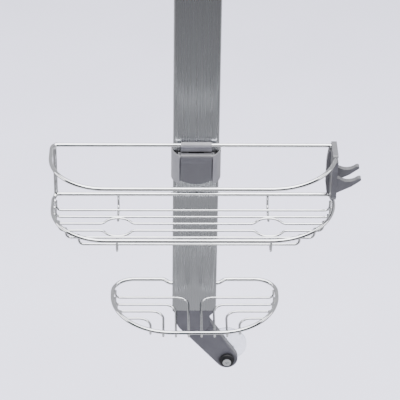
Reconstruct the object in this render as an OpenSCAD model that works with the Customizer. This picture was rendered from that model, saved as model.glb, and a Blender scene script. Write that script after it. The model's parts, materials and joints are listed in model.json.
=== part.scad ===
// Hanging shower caddy: a flat column with a sliding wire basket, a wire soap dish,
// a hook for the shower arm and a swivelling suction cup. Millimetres, +X right,
// +Y towards the wall, +Z up. The origin is the centre of the hook's round seat.

/* [Column] */
// Width of the column across the front
col_w = 48; // [44:1:56]
// Depth of the column, front to back
col_d = 16; // [15:0.5:20]
// Front and back wall thickness of the extruded column
col_wall = 1.6; // [1.2:0.1:2]
// Side wall thickness of the extruded column
col_side = 2.6; // [2.4:0.1:3]
// Radius of the two long front edges
col_front_r = 4.5; // [3:0.5:6]
// Radius of the two long back edges
col_back_r = 2.5; // [2:0.5:3]
// Length of the column
col_len = 440; // [400:5:480]
// Height of the shower arm's centre above the column's lower end
hook_z = 490; // [480:5:530]

/* [Basket] */
// Half width of the rim, wire centre to middle, at its widest
rim_half_w = 146.5; // [140:0.5:152]
// Half width between the wire legs at the back
leg_half_w = 143.9; // [138:0.5:148]
// Distance of the back rails in front of the column's face
rail_gap = 4; // [3.8:0.1:5]
// Distance of the rim's front wire in front of the column's face
rim_front = 88; // [84:1:96]
// Radius of the rim's front corner on the left
rim_left_r = 57; // [50:1:62]
// Radius of the rim's front corner on the right
rim_right_r = 70; // [50:1:70]
// Height of the upper rim above the column's lower end
rim_top_z = 218.5; // [210:0.5:230]
// Height between the upper and the lower rim
rim_step = 63.3; // [58:0.1:70]
// Height of the floor wires below the lower rim
floor_drop = 11.8; // [10:0.1:14]
// Sideways seat of the wire basket in its rail clip
basket_shift = -2.7; // [-3:0.1:3]

/* [Wire] */
// Diameter of the rim, leg, rail and dish ring wire
thick_d = 4; // [3.5:0.1:4.5]
// Diameter of the floor and dish wires
thin_d = 2.4; // [2:0.1:2.8]
// How far welded wires sink into each other
weld = 0.1; // [0.05:0.05:0.2]

/* [Bottle rings] */
// Radius of a bottle ring, wire centre to middle
ring_r = 16.35; // [15:0.05:16.4]
// Distance of each bottle ring from the middle of the basket
ring_x = 78.5; // [70:0.5:85]
// Radius of the bends that lead into a bottle ring
ring_lead_r = 6; // [4:0.5:8]

/* [Soap dish] */
// Half width of the dish ring at its widest
dish_half_w = 88.8; // [84:0.5:92]
// Height of the dish ring above the column's lower end
dish_z = 33; // [30:1:40]
// Height of the dish wires below the dish ring
dish_drop = 10; // [8:0.5:12]
// Radius of the dish ring's front corners
dish_front_r = 65; // [58:1:66]
// Radius of the dish ring's back corners
dish_back_r = 23; // [18:1:24]
// Distance of the ring's front wire in front of the column's face
dish_front = 82.2; // [78:0.2:86]

/* [Swivel arm] */
// Angle of the arm at rest, from straight down towards +X
arm_tilt = 36.4; // [0:0.1:40]
// Length of the arm, pivot to suction cup
arm_len = 67.7; // [60:0.1:70]
// Radius of the arm round the suction cup's screw
arm_end_r = 12.2; // [11:0.1:13]
// Radius of the arm round its pivot
arm_top_r = 16.8; // [16:0.1:17.6]

/* [Suction cup] */
// Radius of the suction cup's rim
cup_r = 23; // [20:0.5:24]
// Distance of the cup's rim behind the column's middle
cup_rim_y = 24; // [22:0.5:28]

/* [Hook] */
// Radius of the shower arm that the hook holds
pipe_r = 10.65; // [10:0.05:11]
// Thickness of the rubber liner in the hook
liner_t = 2.5; // [2:0.1:3]
// Width of the hook along the shower arm
hook_w = 20; // [18:0.5:24]

/* [Hidden] */
$fn = 48;

front_y = -col_d / 2;
back_y = col_d / 2;
thick_r = thick_d / 2;
thin_r = thin_d / 2;
proud = 0.02;
lap = 0.2;

// Basket heights and places
rim_low_z = rim_top_z - rim_step;
floor_z = rim_low_z - floor_drop;
rail_y = front_y - rail_gap;
rail_inset = 1.1;
rim_front_y = front_y - rim_front;
corner_r = 5;
splay_y = rail_y - 8;
splay_r = 12;
butt_y = rail_y - 5.3;
floor_ys = [for (d = [15, 27.5, 40, 52.5, 65, 77]) front_y - d];

// Carriage. "out" values are distances in front of the column's face
sleeve_half_w = 26;
sleeve_low_z = 172.7;
sleeve_top_z = 207.4;
sleeve_arc_r = 20;
sleeve_arc_y = -1.2;
sleeve_end_y = 1.6;
sleeve_wall = 1.6;
plate_out = 3.5;
plate_top_z = 214;
groove_low_y = -0.3;
groove_top_y = 1.9;
groove_deep = 1.2;
lever_half_w = 16.3;
lever_low_z = 172.5;
lever_arc_r = 29;
cheek_in = 17.2;
liner_gap = 0.3;
liner_front = 1.5;
liner_end_y = -4.5;
pin_y = front_y - 8;
pin_z = 205.8;
pin_r = 1.2;
pin_half = 17.9;
boss_r = 2.6;
boss_in = 16.6;
barrel_r = 3.6;
window_half_w = 8;
window_low_z = 198.5;
window_top_z = 209;

// Soap dish
dish_bar_y = 5;
dish_entry_y = -2;
dish_front_y = front_y - dish_front;
dish_floor_z = dish_z - dish_drop;
dish_entry_x = 26.5;
dish_ys = [for (d = [7.2, 20, 32, 44.5]) front_y - d];
dish_xs = [47.5, 33.8, 20.5, 6.8];
dish_bend_r = 13;

// Swivel arm and end cap
pivot = [-3, -16.5];
cheek_centre = [-0.8, -13.8];
cheek_r = 18.6;
cheek_t = 2.4;
arm_half_t = 5.3;
arm_swing = 75;
side_gap = 0.3;
pivot_pin_r = 3;
run_gap = 0.05;

// Hook
hook_in_r = pipe_r + liner_t;
hook_out_r = hook_in_r + 5.6;
gate_pivot = [20, -17];
gate_barrel_r = 4.2;
gate_slot_x = 13.5;

// ---- helpers -------------------------------------------------------------

function unit(v) = v / norm(v);
function turn(a, b, c) = acos(unit(b - a) * unit(c - b));
function reach(a, b, c, r) = r * tan(turn(a, b, c) / 2);

// Round bar from p to q
module bar(p, q, r) {
    v = q - p;
    if (norm(v) > 0.02)
        translate(p) rotate([0, acos(v.z / norm(v)), atan2(v.y, v.x)]) cylinder(r = r, h = norm(v));
}

// Bend of radius r at corner b, on the way from a to c
module elbow(a, b, c, r, wire_r) {
    u = unit(b - a);
    w = unit(c - b);
    inward = unit(w - (w * u) * u);
    start = b - u * reach(a, b, c, r);
    centre = start + inward * r;
    x = -inward;
    z = cross(x, u);
    multmatrix([[x.x, u.x, z.x, centre.x], [x.y, u.y, z.y, centre.y],
                [x.z, u.z, z.z, centre.z], [0, 0, 0, 1]])
        rotate_extrude(angle = turn(a, b, c)) translate([r, 0]) circle(r = wire_r);
}

// Wire through the corners pts; bends[i] is the bend radius at corner i + 1
module wire(pts, bends, wire_r) {
    last = len(pts) - 1;
    cut = [for (i = [0:last]) i == 0 || i == last ? 0 : reach(pts[i - 1], pts[i], pts[i + 1], bends[i - 1])];
    // Each straight length is a hair proud of the bends and laps a little way into them
    for (i = [0:last - 1]) {
        dir = unit(pts[i + 1] - pts[i]);
        from = cut[i] - (i > 0 ? lap : 0);
        to = cut[i + 1] - (i < last - 1 ? lap : 0);
        bar(pts[i] + dir * from, pts[i + 1] - dir * to, wire_r + proud);
    }
    for (i = [1:last - 1]) elbow(pts[i - 1], pts[i], pts[i + 1], bends[i - 1], wire_r);
}

function flip(pts) = [for (i = [len(pts) - 1:-1:0]) [-pts[i].x, pts[i].y, pts[i].z]];
function back_to_front(v) = [for (i = [len(v) - 1:-1:0]) v[i]];

// Rounded rectangle with its own radius at the front (-y) and the back (+y)
module column_outline(w, d, front_r, back_r) {
    r1 = max(front_r, 0.5);
    r2 = max(back_r, 0.5);
    square([w - 2 * r1, d], center = true);
    translate([-w / 2, -d / 2 + r1]) square([w, d - r1 - r2]);
    translate([-w / 2 + r2, 0]) square([w - 2 * r2, d / 2]);
    for (s = [-1, 1]) {
        translate([s * (w / 2 - r1), -d / 2 + r1]) circle(r = r1);
        translate([s * (w / 2 - r2), d / 2 - r2]) circle(r = r2);
    }
}

// Extrudes an outline drawn in x and z from y0 to y1
module along_y(y0, y1) {
    translate([0, y1, 0]) rotate([90, 0, 0]) linear_extrude(height = y1 - y0) children();
}

// Extrudes an outline drawn in y and z over -half..half in x
module along_x(half) {
    translate([-half, 0, 0]) rotate([90, 0, 90]) linear_extrude(height = 2 * half) children();
}

module rod_y(x, z, r, y0, y1) { translate([x, y1, z]) rotate([90, 0, 0]) cylinder(r = r, h = y1 - y0); }
module rod_x(y, z, r, half) { translate([-half, y, z]) rotate([0, 90, 0]) cylinder(r = r, h = 2 * half); }

// ---- column and its ends ---------------------------------------------------

screw_xs = [-12, 12];
cap_screw_z = 12;
head_screw_z = col_len - 10;

// Outline of the column's hollow, shrunk by fit on every side
module hollow_outline(fit) {
    column_outline(col_w - 2 * (col_side + fit), col_d - 2 * (col_wall + fit),
                   col_front_r - col_wall, col_back_r - col_wall);
}

module column() {
    color([0.72, 0.73, 0.75])
    difference() {
        linear_extrude(height = col_len) column_outline(col_w, col_d, col_front_r, col_back_r);
        translate([0, 0, -1]) linear_extrude(height = col_len + 2) hollow_outline(0);
        // Groove down each side that guides the carriage
        for (s = [-1, 1]) translate([s * col_w / 2 - groove_deep, groove_low_y, -1])
            cube([2 * groove_deep, groove_top_y - groove_low_y, col_len + 2]);
        rod_x(dish_entry_y, dish_z, thick_r + 0.15, col_w);
        for (x = screw_xs, z = [cap_screw_z, head_screw_z]) rod_y(x, z, 1.7, 0, back_y + 1);
    }
}

// Solid plug that fits inside the column's end
module plug(low_z, top_z) {
    translate([0, 0, low_z]) linear_extrude(height = top_z - low_z) hollow_outline(0.1);
}

module screw_pair(z) {
    for (x = screw_xs) {
        rod_y(x, z, 1.5, 0.5, back_y);
        rod_y(x, z, 3, back_y, back_y + 1.8);
    }
}

// Outline of the arm, pointing down from its pivot at the origin
module arm_outline(grow) {
    top_r = arm_top_r + grow;
    end_r = arm_end_r + grow;
    lean = asin((top_r - end_r) / arm_len);
    circle(r = top_r);
    translate([0, -arm_len]) circle(r = end_r);
    polygon([top_r * [cos(lean), -sin(lean)], top_r * [-cos(lean), -sin(lean)],
             [-end_r * cos(lean), -arm_len - end_r * sin(lean)],
             [end_r * cos(lean), -arm_len - end_r * sin(lean)]]);
}

module end_cap() {
    slot = arm_half_t + side_gap;
    color([0.40, 0.40, 0.42])
    difference() {
        union() {
            along_y(front_y, back_y) {
                polygon([[-col_w / 2 + 0.2, 0], [col_w / 2 - 0.2, 0], [cheek_centre.x + cheek_r * 0.94, -8],
                         [cheek_centre.x + cheek_r, cheek_centre.y], [cheek_centre.x - cheek_r, cheek_centre.y],
                         [cheek_centre.x - cheek_r * 0.94, -8]]);
                intersection() {
                    translate(cheek_centre) circle(r = cheek_r);
                    translate([-col_w, -col_w]) square([2 * col_w, col_w]);
                }
            }
            plug(-1, 22);
        }
        along_y(-slot, slot) {
            translate(pivot) circle(r = arm_top_r + side_gap);
            for (a = [-arm_swing, arm_swing]) translate(pivot) rotate(a) arm_outline(side_gap);
            translate([-40, pivot.y - 40]) square([80, 40]);
        }
        rod_y(pivot.x, pivot.y, pivot_pin_r, -7, back_y + 1);
        for (x = screw_xs) rod_y(x, cap_screw_z, 1.5, 0.5, back_y);
    }
}

module cap_screws() { color([0.8, 0.8, 0.82]) screw_pair(cap_screw_z); }
module head_screws() { color([0.8, 0.8, 0.82]) screw_pair(head_screw_z); }

module arm_pivot_pin() {
    color([0.75, 0.75, 0.77]) {
        rod_y(pivot.x, pivot.y, pivot_pin_r, -7, back_y);
        rod_y(pivot.x, pivot.y, 5, back_y, back_y + 1.6);
    }
}

// ---- swivel arm and suction cup --------------------------------------------

arm_end = [pivot.x + arm_len * sin(arm_tilt), pivot.y - arm_len * cos(arm_tilt)];
grommet_r = 8.3;
grommet_seat_r = 6;
flange_r = 1.6;
head_y = -arm_half_t - 2 * flange_r - side_gap;
head_r = 4.7;
head_t = 1.8;
cup_screw_r = 2;
insert_r = 4;

module swivel_arm() {
    color([0.42, 0.42, 0.44])
    difference() {
        along_y(-arm_half_t, arm_half_t) translate(pivot) rotate(arm_tilt) arm_outline(0);
        rod_y(pivot.x, pivot.y, pivot_pin_r + run_gap, -10, 10);
        rod_y(arm_end.x, arm_end.y, grommet_seat_r, -10, 10);
    }
}

module cup_grommet() {
    color([0.05, 0.05, 0.06])
    translate([arm_end.x, 0, arm_end.y]) rotate([90, 0, 0])
    rotate_extrude() {
        bore = cup_screw_r + run_gap;
        translate([bore, -arm_half_t]) square([grommet_seat_r - bore, 2 * arm_half_t]);
        translate([bore, arm_half_t]) square([grommet_r - flange_r - bore, 2 * flange_r]);
        translate([bore, arm_half_t]) square([grommet_r - bore, flange_r]);
        translate([grommet_r - flange_r, arm_half_t + flange_r]) circle(r = flange_r);
    }
}

module cup_screw() {
    color([0.85, 0.85, 0.86])
    difference() {
        union() {
            rod_y(arm_end.x, arm_end.y, cup_screw_r, head_y - head_t / 2, 12);
            rod_y(arm_end.x, arm_end.y, head_r, head_y - head_t, head_y);
        }
        for (a = [0, 90])
            translate([arm_end.x, head_y - head_t, arm_end.y]) rotate([0, a, 0])
                cube([4.2, 2, 0.9], center = true);
    }
}

module cup_insert() {
    color([0.9, 0.9, 0.9])
    difference() {
        union() {
            rod_y(arm_end.x, arm_end.y, insert_r, arm_half_t + side_gap, 14);
            rod_y(arm_end.x, arm_end.y, 6.4, arm_half_t + side_gap, arm_half_t + side_gap + 1.4);
        }
        rod_y(arm_end.x, arm_end.y, cup_screw_r, 0, 12);
    }
}

// Bell shaped cup, drawn with its axis up the page: radius, then distance behind the arm
module suction_cup() {
    neck_y = arm_half_t + side_gap + 1.4;
    color([0.9, 0.93, 0.95, 0.5])
    translate([arm_end.x, 0, arm_end.y]) rotate([-90, 0, 0])
    rotate_extrude()
        polygon([[insert_r, neck_y], [7.2, neck_y], [7.6, 10], [9.5, 13.6], [14, 17.2], [18.6, 20],
                 [cup_r, cup_rim_y - 1], [cup_r, cup_rim_y], [21.6, cup_rim_y], [17.4, 21.8],
                 [12.6, 19.6], [7.5, 17.4], [0, 16.8], [0, 14], [insert_r, 14]]);
}

// ---- soap dish ---------------------------------------------------------------

dish_side_y = dish_front_y + dish_front_r;
dish_corner_x = dish_half_w - dish_front_r;

// Inner side of the dish ring, where thin wires are welded on
function dish_side(y) =
    let (r = dish_front_r - thick_r - thin_r + weld)
    y > dish_side_y ? dish_corner_x + r
                    : dish_corner_x + sqrt(r * r - pow(dish_side_y - y, 2));
function dish_nose(x) =
    let (r = dish_front_r - thick_r - thin_r + weld)
    abs(x) < dish_corner_x ? dish_side_y - r
                           : dish_side_y - sqrt(r * r - pow(abs(x) - dish_corner_x, 2));

module dish_ring() {
    half = [[12, dish_entry_y, dish_z], [dish_entry_x, dish_entry_y, dish_z],
            [dish_entry_x + dish_bar_y - dish_entry_y, dish_bar_y, dish_z],
            [dish_half_w, dish_bar_y, dish_z], [dish_half_w, dish_front_y, dish_z]];
    bends = [6, 6, dish_back_r, dish_front_r];
    color([0.85, 0.86, 0.88]) wire(concat(half, flip(half)), concat(bends, back_to_front(bends)), thick_r);
}

module dish_socket() {
    color([0.35, 0.35, 0.37])
    difference() {
        translate([0, 0, dish_z - 9]) linear_extrude(height = 18) hollow_outline(0.2);
        for (s = [-1, 1])
            bar([s * 11.9, dish_entry_y, dish_z], [s * col_w / 2, dish_entry_y, dish_z], thick_r + run_gap);
    }
}

// Wires 1 to 4 are on the left, 5 to 8 on the right, from the back forwards
module dish_wire(i) {
    s = i <= 4 ? -1 : 1;
    k = (i - 1) % 4;
    y = dish_ys[k];
    x = dish_xs[3 - k];
    side = dish_side(y);
    nose = dish_nose(x);
    pts = [[s * side, y, dish_z], [s * side, y, dish_floor_z], [s * x, y, dish_floor_z],
           [s * x, nose, dish_floor_z], [s * x, nose, dish_z]];
    color([0.82, 0.83, 0.85]) wire(pts, [5, dish_bend_r, 5], thin_r);
}

// ---- basket --------------------------------------------------------------------

butt_x = leg_half_w + (rim_half_w - leg_half_w) * (rail_y - butt_y) / (rail_y - splay_y);

// Inner side of the rim at y, on the side whose front corner has radius bend, where a floor wire is welded on
function rim_side(y, bend) =
    let (r = bend - thick_r - thin_r + weld, corner_x = rim_half_w - bend, corner_y = rim_front_y + bend)
    y > splay_y ? leg_half_w + (rim_half_w - leg_half_w) * (rail_y - y) / (rail_y - splay_y)
                  - thick_r - thin_r + weld
    : y > corner_y ? corner_x + r
    : corner_x + sqrt(r * r - pow(corner_y - y, 2));

module shifted() { translate([basket_shift, 0, 0]) children(); }

// Upper rim with the legs down to the lower rim, as one bent wire
module upper_rim_wire() {
    half = [[butt_x, butt_y, rim_low_z], [leg_half_w, rail_y, rim_low_z], [leg_half_w, rail_y, rim_top_z],
            [rim_half_w, splay_y, rim_top_z], [rim_half_w, rim_front_y, rim_top_z]];
    bends = [corner_r, corner_r, splay_r];
    color([0.86, 0.87, 0.89]) shifted()
        wire(concat(half, flip(half)),
             concat(bends, [rim_right_r, rim_left_r], back_to_front(bends)), thick_r);
}

module lower_rim_wire() {
    half = [[butt_x, butt_y, rim_low_z], [rim_half_w, splay_y, rim_low_z],
            [rim_half_w, rim_front_y, rim_low_z]];
    color([0.86, 0.87, 0.89]) shifted()
        wire(concat(half, flip(half)), [splay_r, rim_right_r, rim_left_r, splay_r], thick_r);
}

module back_rail(z) {
    color([0.86, 0.87, 0.89]) shifted() rod_x(rail_y, z, thick_r, leg_half_w - thick_r + 0.6);
}

module top_back_rail() { back_rail(rim_top_z - rail_inset); }
module lower_back_rail() { back_rail(rim_low_z + rail_inset); }

// Corners of the detour that a floor wire makes round a bottle ring at x
ring_offset = (floor_ys[2] - floor_ys[3]) / 2;
ring_mid_y = (floor_ys[2] + floor_ys[3]) / 2;
ring_lean = acos((ring_offset + ring_lead_r) / (ring_r + ring_lead_r));
ring_peak = ring_r / cos(ring_lean);
ring_foot = (ring_peak - ring_offset) / tan(ring_lean);
function detour(x, y, dir) = [[x + ring_foot, y, floor_z], [x, ring_mid_y + dir * ring_peak, floor_z],
                              [x - ring_foot, y, floor_z]];

module floor_wire(i) {
    y = floor_ys[i - 1];
    right = rim_side(y, rim_right_r);
    left = rim_side(y, rim_left_r);
    dir = i == 3 ? 1 : -1;
    rings = i == 3 || i == 4 ? concat(detour(ring_x, y, dir), detour(-ring_x, y, dir)) : [];
    ring_bends = len(rings) == 0 ? [] : [ring_lead_r, ring_r, ring_lead_r, ring_lead_r, ring_r, ring_lead_r];
    pts = concat([[right, y, rim_low_z], [right, y, floor_z]], rings,
                 [[-left, y, floor_z], [-left, y, rim_low_z]]);
    color([0.84, 0.85, 0.87]) shifted() wire(pts, concat([corner_r], ring_bends, [corner_r]), thin_r);
}

// Braces 1 and 2 hold the bottle rings at the back, 3 and 4 at the front
module ring_brace(i) {
    x = (i % 2 == 1 ? -1 : 1) * ring_x;
    z = floor_z - thin_d + weld;
    pts = i <= 2
        ? [[x, rail_y, rim_low_z + rail_inset - thick_r - 0.1], [x, rail_y, z],
           [x, ring_mid_y + ring_r - 1.5, z]]
        : [[x, rim_front_y, rim_low_z - thick_r + weld], [x, rim_front_y, z],
           [x, ring_mid_y - ring_r + 1.5, z]];
    color([0.84, 0.85, 0.87]) shifted() wire(pts, [4], thin_r);
}

// ---- carriage ------------------------------------------------------------------

module mirrored() { children(); mirror([1, 0, 0]) children(); }

// Round shoulder of the sleeve seen from above, on the right hand side
module shoulder(r) {
    intersection() {
        translate([sleeve_half_w - sleeve_arc_r, sleeve_arc_y]) circle(r = r);
        translate([cheek_in, sleeve_arc_y - 30]) square([20, 30]);
    }
}

module carriage_sleeve() {
    lip_x = col_w / 2 - groove_deep + 0.4;
    wall_x = sleeve_half_w - sleeve_wall + 0.2;
    height = sleeve_top_z - sleeve_low_z;
    color([0.62, 0.62, 0.64])
    difference() {
        union() {
            translate([0, 0, sleeve_low_z]) linear_extrude(height = height) mirrored() {
                difference() {
                    shoulder(sleeve_arc_r);
                    shoulder(sleeve_arc_r - sleeve_wall);
                }
                // Wall beside the lever
                translate([cheek_in, pin_y - 0.5]) square([sleeve_wall, 8 - liner_front + 0.5]);
                // Side wall and the lip that runs in the column's groove
                translate([wall_x, sleeve_arc_y - 0.5]) square([sleeve_half_w - wall_x, sleeve_end_y - sleeve_arc_y + 0.5]);
                translate([lip_x, groove_low_y + side_gap]) square([2, sleeve_end_y - groove_low_y - side_gap]);
            }
            // Plate behind the lever
            translate([-cheek_in - 0.5, front_y - plate_out, sleeve_low_z])
                cube([2 * cheek_in + 1, plate_out - liner_front, height]);
            translate([-lever_half_w + 0.3, front_y - plate_out, sleeve_low_z])
                cube([2 * lever_half_w - 0.6, plate_out - liner_front, plate_top_z - sleeve_low_z]);
            // Boss on each cheek that carries the lever's pin
            mirrored() translate([boss_in, pin_y, pin_z]) intersection() {
                rotate([0, 90, 0]) cylinder(r = boss_r, h = cheek_in - boss_in + 0.3);
                translate([-1, -boss_r, -5]) cube([5, 2 * boss_r, 5 + sleeve_top_z - pin_z]);
            }
        }
        translate([-window_half_w, front_y - plate_out - 1, window_low_z])
            cube([2 * window_half_w, plate_out + 1, window_top_z - window_low_z]);
        rod_x(pin_y, pin_z, pin_r, pin_half);
    }
}

module carriage_liner() {
    color([0.05, 0.05, 0.06])
    difference() {
        translate([0, 0, sleeve_low_z + 0.8]) linear_extrude(height = sleeve_top_z - sleeve_low_z - 1.6)
            difference() {
                union() {
                    mirrored() difference() {
                        shoulder(sleeve_arc_r - sleeve_wall);
                        translate([0, pin_y - 12]) square([cheek_in + sleeve_wall, 20 - liner_front]);
                        translate([0, liner_end_y]) square([sleeve_half_w, 10]);
                    }
                    translate([-20, front_y - liner_front]) square([40, liner_front]);
                }
                column_outline(col_w + 2 * liner_gap, col_d + 2 * liner_gap, col_front_r, col_back_r);
            }
    }
}

module cam_pad() {
    slack = 0.2;
    color([0.15, 0.15, 0.16])
    translate([-window_half_w + slack, front_y - plate_out, window_low_z + slack])
        cube([2 * (window_half_w - slack), plate_out - liner_front,
              window_top_z - window_low_z - 2 * slack]);
}

module rail_clip() {
    rail_z = rim_top_z - rail_inset;
    half = lever_half_w - 0.3;
    color([0.62, 0.62, 0.64])
    difference() {
        union() {
            rod_x(rail_y, rail_z, thick_r + 1.4, half);
            along_x(half) polygon([[front_y - plate_out, pin_z + 4], [front_y - plate_out - 1.7, pin_z + 4],
                [front_y - 6.4, rail_z - 1.5], [front_y - plate_out, rail_z]]);
        }
        rod_x(rail_y, rail_z, thick_r, 40);
        translate([-20, front_y - plate_out, sleeve_low_z]) cube([40, 10, plate_top_z - sleeve_low_z]);
    }
}

module lock_lever() {
    low = lever_low_z - 4;
    color([0.45, 0.45, 0.47])
    difference() {
        union() {
            rod_x(pin_y, pin_z, barrel_r, lever_half_w);
            intersection() {
                along_x(lever_half_w) polygon([[pin_y - 0.8, pin_z + 3], [pin_y - 3.2, pin_z],
                    [pin_y - 1.2, pin_z - 8], [pin_y - 1.4, low], [pin_y + 1.1, low],
                    [pin_y + 1.3, pin_z - 4], [pin_y + 2, pin_z]]);
                rod_y(0, lever_low_z + lever_arc_r, lever_arc_r, pin_y - 10, pin_y + 10);
            }
        }
        rod_x(pin_y, pin_z, pin_r + run_gap, 20);
    }
}

module lever_pin() { color([0.8, 0.8, 0.82]) rod_x(pin_y, pin_z, pin_r, pin_half); }

// ---- razor holder ---------------------------------------------------------------

prong_ys = [rail_y + 0.6, rail_y - 22];
prong_t = 5.6;
holder_in = 142.2;
holder_out = 147.9;
holder_top_z = 222.5;
holder_wall_x = 144.15;
clip_top_z = 213.2;
web_back = 9.5;
web_front = 17.5;
wrap_r = thick_r + run_gap;

module prong(y) {
    along_y(y - prong_t, y) {
        difference() {
            polygon([[holder_out - 1, 176], [163.1, 184.6], [171.9, 191.4], [170.1, 194.4],
                     [holder_out - 1, 194.4]]);
            translate([159.5, 205.6]) circle(r = 15);
        }
        translate([170.9, 192.9]) circle(r = 1.75);
    }
}

module razor_holder() {
    color([0.45, 0.45, 0.47]) shifted()
    difference() {
        union() {
            // Upright clip round the wire leg
            along_y(rail_y - 4, rail_y + 3.2)
                polygon([[140, 160], [146.5, 160], [147.9, 164], [147.9, 206], [146.5, clip_top_z],
                         [140, clip_top_z], [138.4, 200], [138.4, 172]]);
            // Flat cheek beside the rim, which it also wraps
            translate([holder_in, 0, 0]) rotate([90, 0, 90]) linear_extrude(height = holder_out - holder_in)
                polygon([[rail_y, 160], [rail_y - 12, 161], [rail_y - 24, 166], [rail_y - 28, 171],
                         [rail_y - 28, 203], [rail_y - 32, 214], [rail_y - 31, 219],
                         [rail_y - 27, holder_top_z], [rail_y, holder_top_z]]);
            for (y = prong_ys) prong(y);
        }
        bar([leg_half_w, rail_y, 150], [leg_half_w, rail_y, 220], thick_r + run_gap);
        // Open groove round the rim's side, clear across where the wire bends at either end
        translate([holder_wall_x, rail_y - 40, rim_top_z - wrap_r]) cube([8, 40, 2 * wrap_r]);
        translate([holder_in - 4, rail_y - 40, rim_top_z - wrap_r]) cube([14, 40 - web_front, 2 * wrap_r]);
        translate([holder_in - 4, rail_y - web_back, clip_top_z])
            cube([14, 20, rim_top_z + wrap_r - clip_top_z]);
        // Slot through which the clip snaps on to the leg
        translate([leg_half_w - 1.6, rail_y, 150]) cube([3.2, 10, 80]);
    }
}

// ---- hanger ---------------------------------------------------------------------

// Everything about the hook is drawn round the shower arm's centre
module at_hook() { translate([0, 0, hook_z]) children(); }

module channel(r, reach_x) {
    circle(r = r);
    translate([0, -r]) square([reach_x, 2 * r]);
}

module hanger_head() {
    half = hook_w / 2;
    low = col_len - hook_z;
    color([0.42, 0.42, 0.44])
    at_hook() difference() {
        union() {
            along_y(-half, half) {
                circle(r = hook_out_r);
                translate([0, hook_in_r]) square([11, hook_out_r - hook_in_r]);
                polygon([[-col_w / 2, low], [col_w / 2, low], [col_w / 2, low + 16], [gate_pivot.x + 3, gate_pivot.y],
                         [gate_pivot.x, gate_pivot.y + gate_barrel_r], [0, -hook_in_r], [-hook_out_r, 0],
                         [-col_w / 2, low + 14]]);
                translate(gate_pivot) circle(r = gate_barrel_r);
            }
            translate([0, 0, -hook_z]) plug(col_len - 22, col_len + 1);
        }
        along_y(-half - 1, half + 1) channel(hook_in_r, 40);
        // Slot for the gate's barrel and for its swing
        along_y(-6, 6) {
            translate(gate_pivot) circle(r = gate_barrel_r + side_gap);
            translate([gate_slot_x, gate_pivot.y]) square([20, 20]);
            translate([gate_pivot.x, gate_pivot.y - 10]) square([20, 20]);
        }
        rod_y(gate_pivot.x, gate_pivot.y, 1.5, -half - 1, half + 1);
        for (x = screw_xs) rod_y(x, head_screw_z - hook_z, 1.5, 0.5, back_y);
    }
}

module hook_liner() {
    half = hook_w / 2;
    color([0.06, 0.06, 0.07])
    at_hook() along_y(-half, half) difference() {
        channel(hook_in_r, 9);
        channel(pipe_r, 30);
    }
}

module gate() {
    color([0.42, 0.42, 0.44])
    at_hook() difference() {
        along_y(-5.7, 5.7) {
            translate(gate_pivot) circle(r = gate_barrel_r);
            polygon([[gate_pivot.x - 3, gate_pivot.y], [gate_pivot.x + gate_barrel_r, gate_pivot.y],
                     [gate_pivot.x - 1, 8], [gate_pivot.x - 3, 12], [13.5, 12], [11.5, 9], [11.5, -9]]);
        }
        along_y(-10, 10) circle(r = hook_in_r);
        rod_y(gate_pivot.x, gate_pivot.y, 1.5 + run_gap, -20, 20);
    }
}

module gate_pad() {
    color([0.06, 0.06, 0.07])
    at_hook() along_y(-5.7, 5.7) difference() {
        intersection() {
            circle(r = hook_in_r);
            translate([0, -7]) square([20, 14]);
        }
        circle(r = pipe_r + 0.05);
    }
}

module gate_pin() {
    color([0.8, 0.8, 0.82]) at_hook() rod_y(gate_pivot.x, gate_pivot.y, 1.5, -hook_w / 2, hook_w / 2);
}

// ---- assembly ---------------------------------------------------------------------

module place() { translate([0, 0, -hook_z]) children(); }

place() column();
place() hanger_head();
place() hook_liner();
place() gate();
place() gate_pad();
place() gate_pin();
place() head_screws();
place() end_cap();
place() cap_screws();
place() arm_pivot_pin();
place() swivel_arm();
place() cup_grommet();
place() cup_screw();
place() cup_insert();
place() suction_cup();
place() dish_ring();
place() dish_socket();
for (i = [1:8]) place() dish_wire(i);
place() upper_rim_wire();
place() lower_rim_wire();
place() top_back_rail();
place() lower_back_rail();
for (i = [1:6]) place() floor_wire(i);
for (i = [1:4]) place() ring_brace(i);
place() carriage_sleeve();
place() carriage_liner();
place() rail_clip();
place() cam_pad();
place() lock_lever();
place() lever_pin();
place() razor_holder();
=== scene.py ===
"""Hanging shower caddy: finishes, fine pieces, stage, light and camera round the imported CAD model."""
import json
import math
import random

import bmesh
import bpy
from mathutils import Matrix, Vector


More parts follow.
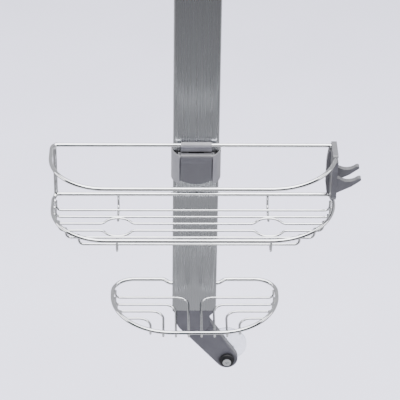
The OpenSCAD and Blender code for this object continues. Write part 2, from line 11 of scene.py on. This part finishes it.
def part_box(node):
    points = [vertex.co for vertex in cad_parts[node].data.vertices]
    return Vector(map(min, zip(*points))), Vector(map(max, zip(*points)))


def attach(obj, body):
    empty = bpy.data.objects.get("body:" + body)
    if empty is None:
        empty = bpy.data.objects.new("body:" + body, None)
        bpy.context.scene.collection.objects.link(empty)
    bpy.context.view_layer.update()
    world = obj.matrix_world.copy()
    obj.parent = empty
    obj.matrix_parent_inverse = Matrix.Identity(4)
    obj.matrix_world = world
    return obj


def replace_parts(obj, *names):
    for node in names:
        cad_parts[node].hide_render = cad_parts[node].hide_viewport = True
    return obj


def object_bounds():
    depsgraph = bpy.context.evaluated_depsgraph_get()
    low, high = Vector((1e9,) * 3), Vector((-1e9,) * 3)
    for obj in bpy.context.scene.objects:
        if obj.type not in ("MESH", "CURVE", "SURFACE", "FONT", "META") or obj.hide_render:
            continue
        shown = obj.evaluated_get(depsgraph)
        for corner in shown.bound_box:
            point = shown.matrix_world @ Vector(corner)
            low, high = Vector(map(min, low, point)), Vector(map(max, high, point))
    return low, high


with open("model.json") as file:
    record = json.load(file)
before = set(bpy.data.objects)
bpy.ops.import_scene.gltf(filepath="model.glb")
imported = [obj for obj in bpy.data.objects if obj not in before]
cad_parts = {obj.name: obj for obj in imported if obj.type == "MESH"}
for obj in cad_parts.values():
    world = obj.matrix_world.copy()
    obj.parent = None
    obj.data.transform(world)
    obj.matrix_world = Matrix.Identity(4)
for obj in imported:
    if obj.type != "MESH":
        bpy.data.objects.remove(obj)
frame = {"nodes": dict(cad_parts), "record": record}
cad_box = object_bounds()
nodes = frame["nodes"]

MM = 0.001

# ---- camera ---------------------------------------------------------------------

CAMERA_ELEVATION = math.radians(34)
CAMERA_AZIMUTH = math.radians(-1.3)
CAMERA_ROLL = math.radians(0.82)
CAMERA_DISTANCE = 2.11046
CAMERA_LENS = 179.86
CAMERA_TARGET = Vector((4.68, -8, -343.77)) * MM


def make_camera():
    """Looks down on the caddy from in front, a touch to the left and rolled a little."""
    e, a = CAMERA_ELEVATION, CAMERA_AZIMUTH
    back = Vector((math.sin(a) * math.cos(e), -math.cos(a) * math.cos(e), math.sin(e)))
    level = Vector((0, 0, 1)).cross(back).normalized()
    upright = back.cross(level)
    right = level * math.cos(CAMERA_ROLL) + upright * math.sin(CAMERA_ROLL)
    up = upright * math.cos(CAMERA_ROLL) - level * math.sin(CAMERA_ROLL)
    data = bpy.data.cameras.new("camera")
    data.lens = CAMERA_LENS
    data.sensor_width = 36
    data.clip_end = 20
    camera = bpy.data.objects.new("camera", data)
    bpy.context.scene.collection.objects.link(camera)
    turn = Matrix((right, up, back)).transposed()
    camera.matrix_world = Matrix.Translation(CAMERA_TARGET + back * CAMERA_DISTANCE) @ turn.to_4x4()
    bpy.context.scene.camera = camera


make_camera()

# ---- materials ------------------------------------------------------------------


def linear(hex_code):
    """sRGB hex to the linear colour that the shaders take."""
    parts = [int(hex_code[i:i + 2], 16) / 255 for i in (1, 3, 5)]
    return [c / 12.92 if c <= 0.04045 else ((c + 0.055) / 1.055) ** 2.4 for c in parts] + [1]


def add(material, kind, settings=None, **links):
    """Adds a node. settings go to its attributes or, by name or number, to its sockets; links feed its sockets."""
    node = material.node_tree.nodes.new(kind)
    for key, value in (settings or {}).items():
        if isinstance(key, str) and hasattr(node, key):
            setattr(node, key, value)
        else:
            node.inputs[key].default_value = value
    for key, source in links.items():
        socket = node.inputs[int(key[1:])] if key[1:].isdigit() else node.inputs[key.replace("_", " ")]
        material.node_tree.links.new(source, socket)
    return node


def surface(name, base, **settings):
    """A material with its Principled shader; settings are that shader's constant sockets."""
    material = bpy.data.materials.new(name)
    material.use_nodes = True
    shader = material.node_tree.nodes["Principled BSDF"]
    shader.inputs["Base Color"].default_value = linear(base)
    for key, value in settings.items():
        shader.inputs[key.replace("_", " ")].default_value = value
    return material, shader


def per_mm(size_mm):
    """Noise scale, on coordinates in metres, whose features are about size_mm across."""
    return 1 / (size_mm * MM)


def grain(material, size_mm, stretch=(1, 1, 1), detail=2.0):
    """Noise on object coordinates with features size_mm across, drawn out where stretch is below 1."""
    place = add(material, "ShaderNodeTexCoord")
    scaled = add(material, "ShaderNodeMapping", {"Scale": stretch}, Vector=place.outputs["Object"])
    noise = add(material, "ShaderNodeTexNoise", {"Scale": per_mm(size_mm), "Detail": detail},
                Vector=scaled.outputs["Vector"])
    return noise.outputs["Fac"]


def to_range(material, value, low, high):
    """value from 0.3..0.7, where noise mostly lies, to low..high."""
    return add(material, "ShaderNodeMapRange", {"From Min": 0.3, "From Max": 0.7, "To Min": low, "To Max": high},
               Value=value).outputs["Result"]


def link(material, source, shader, socket):
    material.node_tree.links.new(source, shader.inputs[socket])


def bumped(material, shader, height, depth_mm, strength=1.0, edge_mm=0):
    """Bump from height; edge_mm above 0 also shades sharp edges as if rounded to that radius."""
    bump = add(material, "ShaderNodeBump", {"Strength": strength, "Distance": depth_mm * MM}, Height=height)
    if edge_mm:
        soft = add(material, "ShaderNodeBevel", {"samples": 6, "Radius": edge_mm * MM})
        material.node_tree.links.new(soft.outputs["Normal"], bump.inputs["Normal"])
    link(material, bump.outputs["Normal"], shader, "Normal")


def tinted(material, shader, value, dark, light):
    """Base colour drifts between two close shades."""
    mix = add(material, "ShaderNodeMix", {"data_type": "RGBA", 6: linear(dark), 7: linear(light)}, i0=value)
    link(material, mix.outputs[2], shader, "Base Color")


def anodised_aluminium():
    """Extruded aluminium, satin anodised: soft upright die lines, a broad soft glow and no sharp reflection."""
    m, s = surface("satin anodised aluminium extrusion", "#b4b6ba", Metallic=1.0, Roughness=0.27)
    lines = grain(m, 0.7, (1, 1, 0.004))
    link(m, to_range(m, lines, 0.265, 0.285), s, "Roughness")
    tinted(m, s, to_range(m, lines, 0, 1), "#b3b5b9", "#b6b8bc")
    bumped(m, s, grain(m, 1.2), 0.001, 0.03)
    return m


def polished_wire():
    """Stainless wire, drawn, bent, welded and electropolished: near mirror, with faint cloudy patches."""
    m, s = surface("electropolished stainless wire", "#cfd0d3", Metallic=1.0, Roughness=0.06)
    clouds = grain(m, 9, detail=3)
    link(m, to_range(m, clouds, 0.04, 0.09), s, "Roughness")
    tinted(m, s, to_range(m, clouds, 0, 1), "#c9cacd", "#d5d6d9")
    bumped(m, s, grain(m, 0.6), 0.004, 0.3)
    return m


def moulded_abs(name, shade_dark, shade_light, low, high):
    """ABS moulded in a spark eroded tool: fine even grit, a satin sheen and very slight shade drift."""
    m, s = surface(name, shade_light, Roughness=(low + high) / 2, IOR=1.53)
    grit = grain(m, 0.5, detail=3)
    link(m, to_range(m, grit, low, high), s, "Roughness")
    tinted(m, s, to_range(m, grain(m, 14), 0, 1), shade_dark, shade_light)
    bumped(m, s, grit, 0.03, 0.25, edge_mm=1.1)
    return m


def silicone():
    """Moulded silicone rubber: black, matt, with a faint dusty bloom."""
    m, s = surface("black silicone rubber", "#17171a", Roughness=0.5, IOR=1.43)
    bloom = grain(m, 5)
    link(m, to_range(m, bloom, 0.42, 0.58), s, "Roughness")
    tinted(m, s, to_range(m, bloom, 0, 1), "#121214", "#1d1d20")
    bumped(m, s, grain(m, 0.8), 0.02, 0.3)
    return m


def turned_steel():
    """Stainless screws and pins: turned, with fine rings left by the tool."""
    m, s = surface("turned stainless steel", "#c9cacd", Metallic=1.0, Roughness=0.22)
    rings = grain(m, 0.35)
    link(m, to_range(m, rings, 0.16, 0.28), s, "Roughness")
    tinted(m, s, to_range(m, grain(m, 4), 0, 1), "#bdbec2", "#d4d5d8")
    bumped(m, s, rings, 0.006, 0.3)
    return m


def polypropylene():
    """Moulded polypropylene, white and slightly waxy."""
    m, s = surface("white moulded polypropylene", "#e2e3e4", Roughness=0.4, IOR=1.49)
    wax = grain(m, 2)
    link(m, to_range(m, wax, 0.34, 0.46), s, "Roughness")
    tinted(m, s, to_range(m, wax, 0, 1), "#dcdde0", "#e8e9ea")
    bumped(m, s, grain(m, 0.6), 0.02, 0.3)
    return m


def clear_vinyl():
    """Flexible clear PVC: lets the wall through, faintly milky, with a soft gloss."""
    m, s = surface("clear flexible vinyl", "#eef1f3", Roughness=0.12, IOR=1.53, Transmission_Weight=0.9)
    milk = grain(m, 6)
    link(m, to_range(m, milk, 0.08, 0.2), s, "Roughness")
    tinted(m, s, to_range(m, milk, 0, 1), "#e6eaee", "#f4f6f8")
    bumped(m, s, milk, 0.05, 0.2)
    return m


FINISHES = {
    "anodised_column": anodised_aluminium(),
    "polished_wire": polished_wire(),
    "grey_plastic": moulded_abs("dark grey moulded ABS", "#4e4e52", "#56565a", 0.36, 0.48),
    "light_grey_plastic": moulded_abs("light grey moulded ABS", "#757579", "#7d7d81", 0.3, 0.42),
    "black_rubber": silicone(),
    "steel_fasteners": turned_steel(),
    "white_plastic": polypropylene(),
    "clear_vinyl": clear_vinyl(),
}


def finish_cad_nodes():
    """Gives every CAD node the finish of its material slot."""
    for part in frame["record"]["subparts"]:
        mesh = nodes[part["node"]].data
        mesh.materials.clear()
        mesh.materials.append(FINISHES[part["material_slot"]])


finish_cad_nodes()

# ---- fine pieces ----------------------------------------------------------------------

# Swivel arm, in mm: two round ends joined by straight sides, bored for its pivot pin and its grommet
PIVOT = Vector((-3, 0, -506.5))
ARM_TILT = math.radians(36.4)
ARM_LENGTH = 67.7
ARM_TOP_R = 16.8
ARM_END_R = 12.2
ARM_BORE_R = 6.05
PIN_BORE_R = 3.05
ARM_HALF_T = 5.3
ARM_EDGE = 2.2
ARM_END = PIVOT + ARM_LENGTH * Vector((math.sin(ARM_TILT), 0, -math.cos(ARM_TILT)))
# Steps round the top and the end of the arm, and along each straight side
TOP_STEPS = 40
END_STEPS = 32
SIDE_STEPS = 12
EDGE_STEPS = 4

# Where the basket's wires are welded, in mm: (x, y, z, bead radius)
FLOOR_WELD_Z = -334.9
FLOOR_WELD_R = 1.75
RAIL_WELD_Y = -12.0
RAIL_WELD_R = 2.35
WELDS = [(x, y, FLOOR_WELD_Z, FLOOR_WELD_R) for y, ends in (
    (-23.0, (-147.3, 141.9)), (-35.6, (-147.2, 141.7)), (-48.4, (-147.0, 138.6)),
    (-61.1, (-143.3, 132.7)), (-74.0, (-135.6, 122.9)), (-86.2, (-121.5, 106.5))) for x in ends]
WELDS += [(x, RAIL_WELD_Y, z, RAIL_WELD_R) for x in (-144.9, 139.5) for z in (-272.6, -333.7)]
BEAD_SEED = 7
BEAD_ROUGH = 0.09


def show(name, bm, body, slot_name):
    """Makes the finished mesh a smooth shaded piece that rides on body, in the finish of its slot."""
    bmesh.ops.recalc_face_normals(bm, faces=bm.faces)
    for face in bm.faces:
        face.smooth = True
    bmesh.ops.scale(bm, vec=(MM, MM, MM), verts=bm.verts)
    data = bpy.data.meshes.new(name)
    bm.to_mesh(data)
    bm.free()
    piece = bpy.data.objects.new(name, data)
    bpy.context.scene.collection.objects.link(piece)
    piece.modifiers.new("weighted", "WEIGHTED_NORMAL")
    data.materials.append(FINISHES[slot_name])
    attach(piece, body)
    return piece


def arc(centre, radius, start, end, steps):
    """Points of an arc in the XZ plane; angles are from straight up, clockwise seen from the front."""
    turns = [start + (end - start) * i / steps for i in range(steps + 1)]
    return [centre + radius * Vector((math.sin(t), 0, math.cos(t))) for t in turns]


def ring(bm, points):
    """Closed loop of edges through the points."""
    verts = [bm.verts.new(p) for p in points]
    return [bm.edges.new(pair) for pair in zip(verts, verts[1:] + verts[:1])]


def make_arm():
    """Swivel arm, bored for its pivot pin and its grommet, with the front and back edges rounded over."""
    # The straight sides touch both ends where they lean in by this angle
    lean = math.asin((ARM_TOP_R - ARM_END_R) / ARM_LENGTH)
    axis = -ARM_TILT
    quarter = math.pi / 2
    upper = arc(PIVOT, ARM_TOP_R, axis - quarter - lean, axis + quarter + lean, TOP_STEPS)
    lower = arc(ARM_END, ARM_END_R, axis + quarter + lean, axis + 3 * quarter - lean, END_STEPS)
    right, left = (upper[-1] + lower[0]) / 2, (lower[-1] + upper[0]) / 2

    def along(start, end):
        """Points between two ends, close enough together for the bores facing them to stay round."""
        return [start.lerp(end, i / SIDE_STEPS) for i in range(1, SIDE_STEPS)]

    across = [right] + along(right, left) + [left]
    upper = upper + along(upper[-1], right) + across + along(left, upper[0])
    lower = lower + along(lower[-1], left) + across[::-1] + along(right, lower[0])
    bm = bmesh.new()
    # Two halves that meet on the line across the middle, each a web round its own bore
    for centre, bore_r, outline in ((PIVOT, PIN_BORE_R, upper), (ARM_END, ARM_BORE_R, lower)):
        rim = ring(bm, outline)
        hole = ring(bm, [centre + bore_r * (p - centre).normalized() for p in outline])
        bmesh.ops.bridge_loops(bm, edges=rim + hole)
    bmesh.ops.remove_doubles(bm, verts=bm.verts, dist=0.001)
    bmesh.ops.translate(bm, vec=(0, -ARM_HALF_T, 0), verts=bm.verts)
    back = bmesh.ops.extrude_face_region(bm, geom=list(bm.faces))["geom"]
    back_verts = [v for v in back if isinstance(v, bmesh.types.BMVert)]
    bmesh.ops.translate(bm, vec=(0, 2 * ARM_HALF_T, 0), verts=back_verts)
    bmesh.ops.recalc_face_normals(bm, faces=bm.faces)

    def on_rim(edge):
        """Whether an edge is one of the outline's sharp ones, and not a bore's."""
        level = abs(edge.verts[0].co.y - edge.verts[1].co.y) < 0.01
        outside = all((v.co.xz - c.xz).length > r + 1 for v in edge.verts
                      for c, r in ((PIVOT, PIN_BORE_R), (ARM_END, ARM_BORE_R)))
        return level and outside and edge.calc_face_angle(0) > 1

    bmesh.ops.bevel(bm, geom=[e for e in bm.edges if on_rim(e)], offset=ARM_EDGE, segments=EDGE_STEPS,
                    profile=0.5, affect="EDGES", material=-1)
    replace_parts(show("soft_swivel_arm", bm, "arm", "grey_plastic"), "swivel_arm")


def make_welds():
    """Resistance weld fillets, slightly uneven, where the basket's wires meet."""
    draw = random.Random(BEAD_SEED)
    bm = bmesh.new()
    for x, y, z, radius in WELDS:
        centre = Vector((x, y, z))
        squash = Matrix.Diagonal((0.8 + 0.2 * draw.random(), 1.15, 0.85 + 0.2 * draw.random(), 1))
        place = Matrix.Translation(centre) @ squash
        bead = bmesh.ops.create_icosphere(bm, subdivisions=3, radius=radius, matrix=place)["verts"]
        for vert in bead:
            vert.co += BEAD_ROUGH * draw.random() * (vert.co - centre).normalized()
        bmesh.ops.smooth_vert(bm, verts=bead, factor=0.5, use_axis_x=True, use_axis_y=True, use_axis_z=True)
    show("basket_welds", bm, "basket", "polished_wire")


make_arm()
make_welds()

# ---- stage and light ----------------------------------------------------------------

# How far the floor lies below the caddy, and half its width, in metres
FLOOR_DROP = 0.25
FLOOR_HALF = 12.0
# Brightness of the studio in front, from straight down (0) through the horizon (0.5) to straight up (1)
FRONT_STOPS = [(0.0, 0.8), (0.13, 1.5), (0.19, 1.0), (0.265, 0.07), (0.3, 0.05), (0.62, 0.07), (0.8, 0.25),
               (1.0, 0.5)]
# Brightness of the pale backdrop behind the caddy
BACKDROP = 0.8


def make_floor():
    """Pale plaster floor, well below the hanging caddy."""
    lowest = cad_box[0][2]
    data = bpy.data.meshes.new("floor")
    bm = bmesh.new()
    bmesh.ops.create_grid(bm, x_segments=1, y_segments=1, size=FLOOR_HALF)
    bmesh.ops.translate(bm, vec=(0, 0, lowest - FLOOR_DROP), verts=bm.verts)
    bm.to_mesh(data)
    bm.free()
    floor = bpy.data.objects.new("floor", data)
    bpy.context.scene.collection.objects.link(floor)
    m, s = surface("pale plaster", "#dbdaee", Roughness=0.85)
    tinted(m, s, to_range(m, grain(m, 180), 0, 1), "#d9d8ec", "#dddcf0")
    data.materials.append(m)
    floor.visible_glossy = False


def make_sky():
    """A pale backdrop behind, and in front a dark studio whose floor brightens towards the caddy's foot."""
    world = bpy.data.worlds.new("studio")
    bpy.context.scene.world = world
    world.use_nodes = True
    backdrop = world.node_tree.nodes["Background"]
    place = add(world, "ShaderNodeTexCoord")
    parts = add(world, "ShaderNodeSeparateXYZ", Vector=place.outputs["Generated"])
    height = add(world, "ShaderNodeMapRange", {"From Min": -1, "From Max": 1}, Value=parts.outputs["Z"])
    ramp = add(world, "ShaderNodeValToRGB", Fac=height.outputs["Result"])
    for position, _ in FRONT_STOPS[1:-1]:
        ramp.color_ramp.elements.new(position)
    for element, (position, level) in zip(ramp.color_ramp.elements, FRONT_STOPS):
        element.position = position
        element.color = (level, level, level * 1.03, 1)
    behind = add(world, "ShaderNodeMapRange", {"From Min": -0.2, "From Max": 0.35}, Value=parts.outputs["Y"])
    mix = add(world, "ShaderNodeMix", {"data_type": "RGBA", 7: (BACKDROP, BACKDROP, BACKDROP * 1.03, 1)},
              i0=behind.outputs["Result"], i6=ramp.outputs["Color"])
    world.node_tree.links.new(mix.outputs[2], backdrop.inputs["Color"])


def make_light(name, place, aim, size, power):
    """Square softbox: size in metres, power in watts."""
    data = bpy.data.lights.new(name, "AREA")
    data.shape = "SQUARE"
    data.size = size
    data.energy = power
    lamp = bpy.data.objects.new(name, data)
    bpy.context.scene.collection.objects.link(lamp)
    lamp.location = place
    lamp.rotation_euler = (Vector(aim) - Vector(place)).to_track_quat("-Z", "Y").to_euler()


make_floor()
make_sky()
middle = (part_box("column")[0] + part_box("column")[1]) / 2
make_light("overhead softbox", (0, -0.2, 1.5), (0, -0.2, 0), 3.0, 255)
make_light("left softbox", (-2.0, 0.15, -0.1), middle, 1.0, 16)
make_light("right softbox", (2.0, 0.15, 0.1), middle, 1.0, 12)
make_light("front fill softbox", (-1.4, -2.2, 0.5), middle, 1.2, 2)
